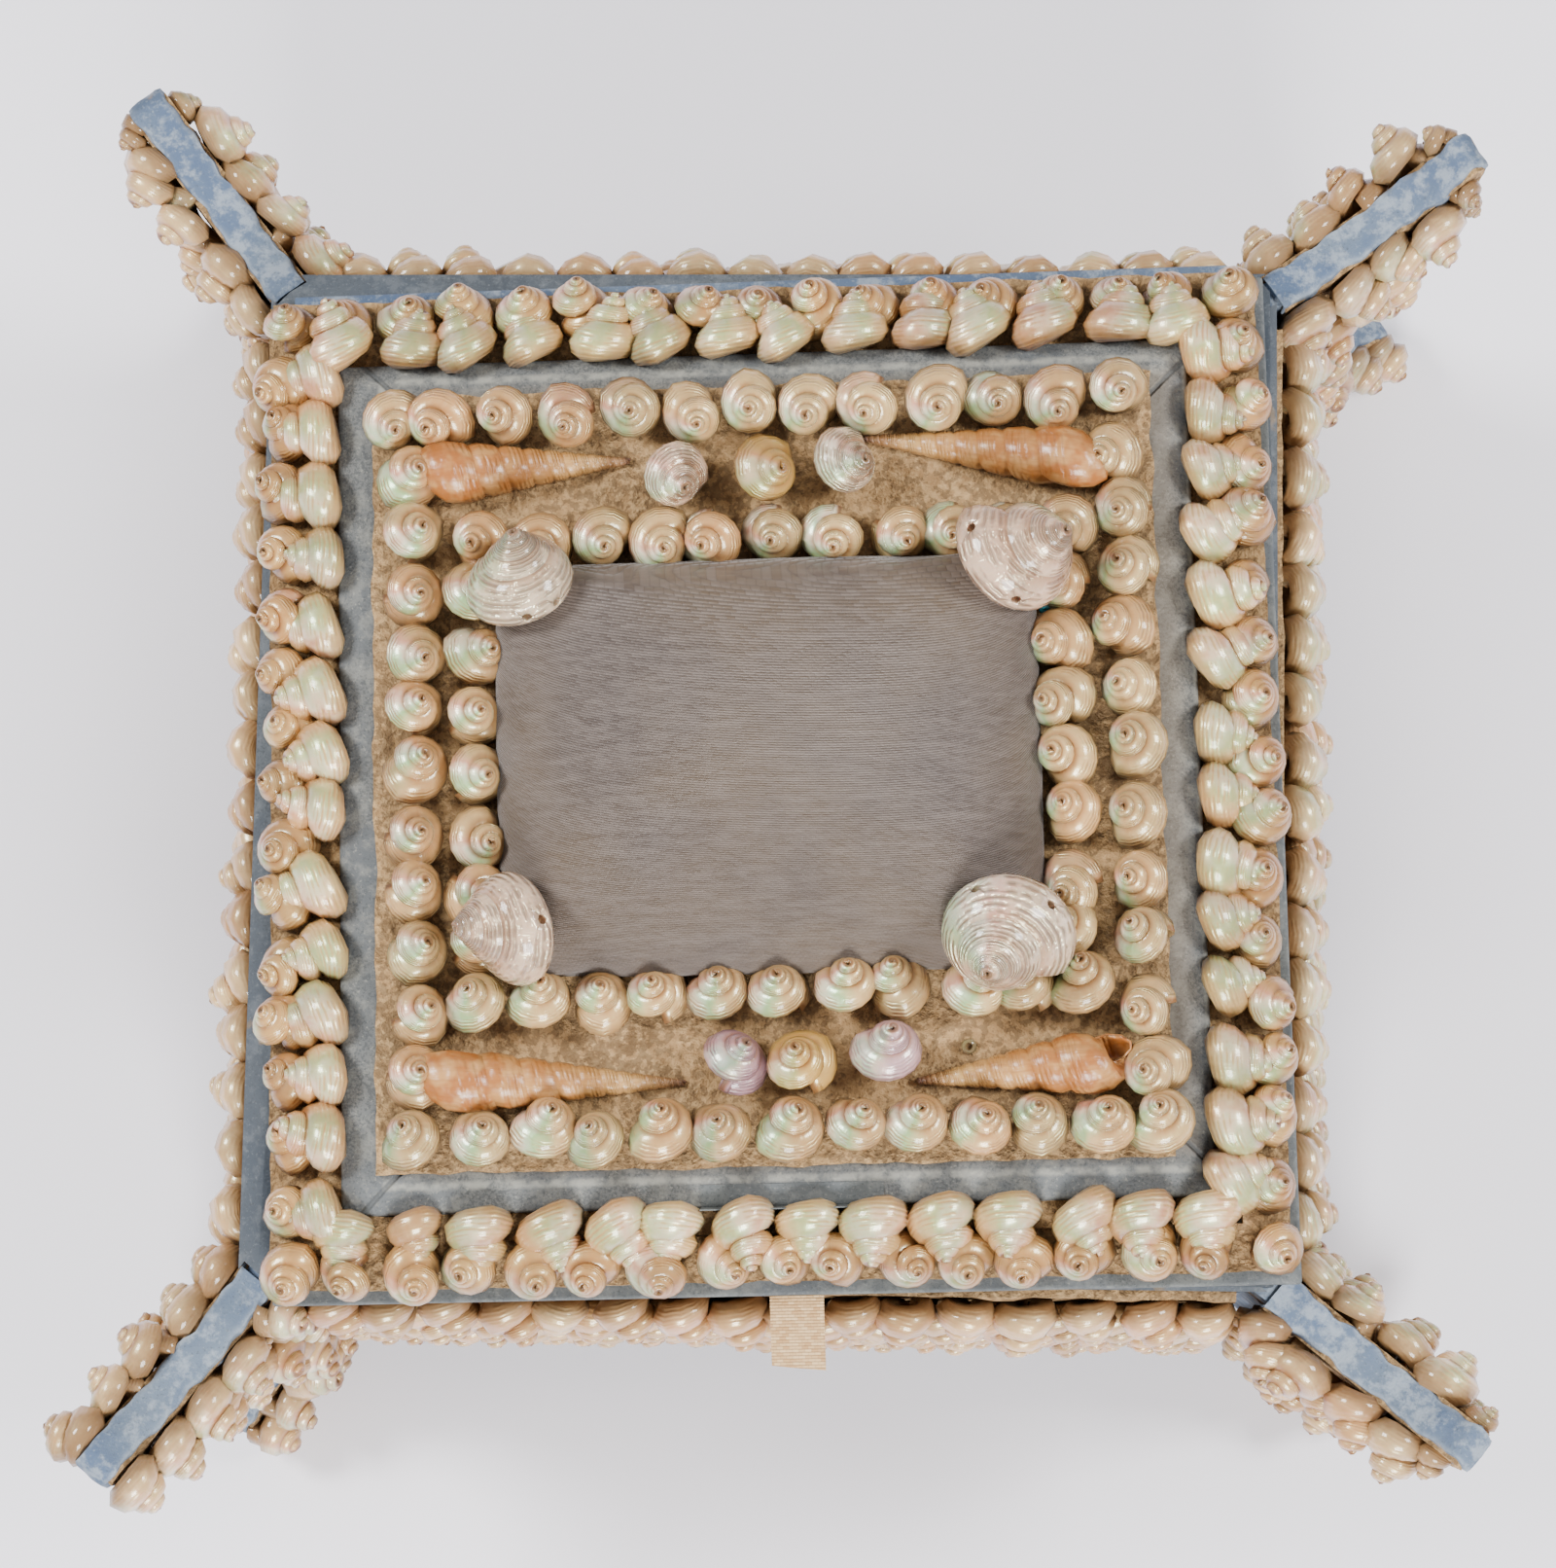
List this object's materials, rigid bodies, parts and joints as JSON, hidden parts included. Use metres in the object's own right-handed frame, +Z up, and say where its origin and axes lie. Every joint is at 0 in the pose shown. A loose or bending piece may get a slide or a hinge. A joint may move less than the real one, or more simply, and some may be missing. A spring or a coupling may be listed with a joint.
{
  "type": "shell box",
  "caption": "Square shell-covered card box on four corner fins, with a paper-hinged lid that carries a satin pincushion and rings of shells.",
  "frame": {"origin": "middle of the object's plan, on the surface it stands on", "axes": "+X to the right seen from the front, +Y towards the hinge side at the back, +Z up"},
  "size_m": [0.2472, 0.253, 0.1382],
  "materials": {
    "faded_blue_paper": "matte, faded and foxed paper on card",
    "blue_paper": "matte glazed paper, less faded",
    "pearl_shell": "glossy, pearly green and pink sheen",
    "worn_shell": "glossy, yellowed and dusty",
    "silver_shell": "glossy mother of pearl",
    "tower_shell": "semi-gloss, banded orange and cream",
    "putty": "matte, dusty",
    "satin": "satin weave with a soft sheen",
    "ribbon": "plain woven tape",
    "turquoise_glass": "glossy opaque glass bead"
  },
  "bodies": {
    "box": {"box_carcass": "faded_blue_paper", "rim_binding": "blue_paper", "wall_shells_front": "worn_shell", "wall_shells_right": "worn_shell", "wall_shells_back": "worn_shell", "wall_shells_left": "worn_shell", "fin_front_left": "blue_paper", "fin_edging_front_left": "blue_paper", "fin_shells_front_left_end": "worn_shell", "fin_shells_front_left_side": "worn_shell", "fin_front_right": "blue_paper", "fin_edging_front_right": "blue_paper", "fin_shells_front_right_end": "worn_shell", "fin_shells_front_right_side": "worn_shell", "fin_back_right": "blue_paper", "fin_edging_back_right": "blue_paper", "fin_shells_back_right_end": "worn_shell", "fin_shells_back_right_side": "worn_shell", "fin_back_left": "blue_paper", "fin_edging_back_left": "blue_paper", "fin_shells_back_left_end": "worn_shell", "fin_shells_back_left_side": "worn_shell"},
    "lid": {"lid_board": "faded_blue_paper", "pull_tab": "ribbon", "lid_hinge_strip": "blue_paper", "lid_platform": "faded_blue_paper", "lid_putty_bed": "putty", "lid_standing_shells_front": "pearl_shell", "lid_standing_shells_right": "pearl_shell", "lid_standing_shells_back": "pearl_shell", "lid_standing_shells_left": "pearl_shell", "lid_lying_shells_front": "pearl_shell", "lid_lying_shells_right": "pearl_shell", "lid_lying_shells_back": "pearl_shell", "lid_lying_shells_left": "pearl_shell", "outer_ring_shells_front": "pearl_shell", "outer_ring_shells_right": "pearl_shell", "outer_ring_shells_back": "pearl_shell", "outer_ring_shells_left": "pearl_shell", "inner_ring_shells_front": "pearl_shell", "inner_ring_shells_right": "pearl_shell", "inner_ring_shells_back": "pearl_shell", "inner_ring_shells_left": "pearl_shell", "tower_shell_front_left": "tower_shell", "tower_shell_front_right": "tower_shell", "tower_shell_back_right": "tower_shell", "tower_shell_back_left": "tower_shell", "centre_shell_back_left": "silver_shell", "centre_shell_back_middle": "silver_shell", "centre_shell_back_right": "silver_shell", "centre_shell_front_left": "silver_shell", "centre_shell_front_middle": "silver_shell", "centre_shell_front_right": "silver_shell", "large_shell_front_left": "silver_shell", "large_shell_front_right": "silver_shell", "large_shell_back_right": "silver_shell", "large_shell_back_left": "silver_shell", "turquoise_bead": "turquoise_glass", "pincushion": "satin"}
  },
  "joints": [
    {"name": "lid_hinge", "type": "hinge", "parent": "box", "child": "lid", "pos_m": [-0.00718, 0.08832, 0.1038], "axis": [-0.9994, -0.0349, 0], "range_deg": [0, 95]}
  ]
}
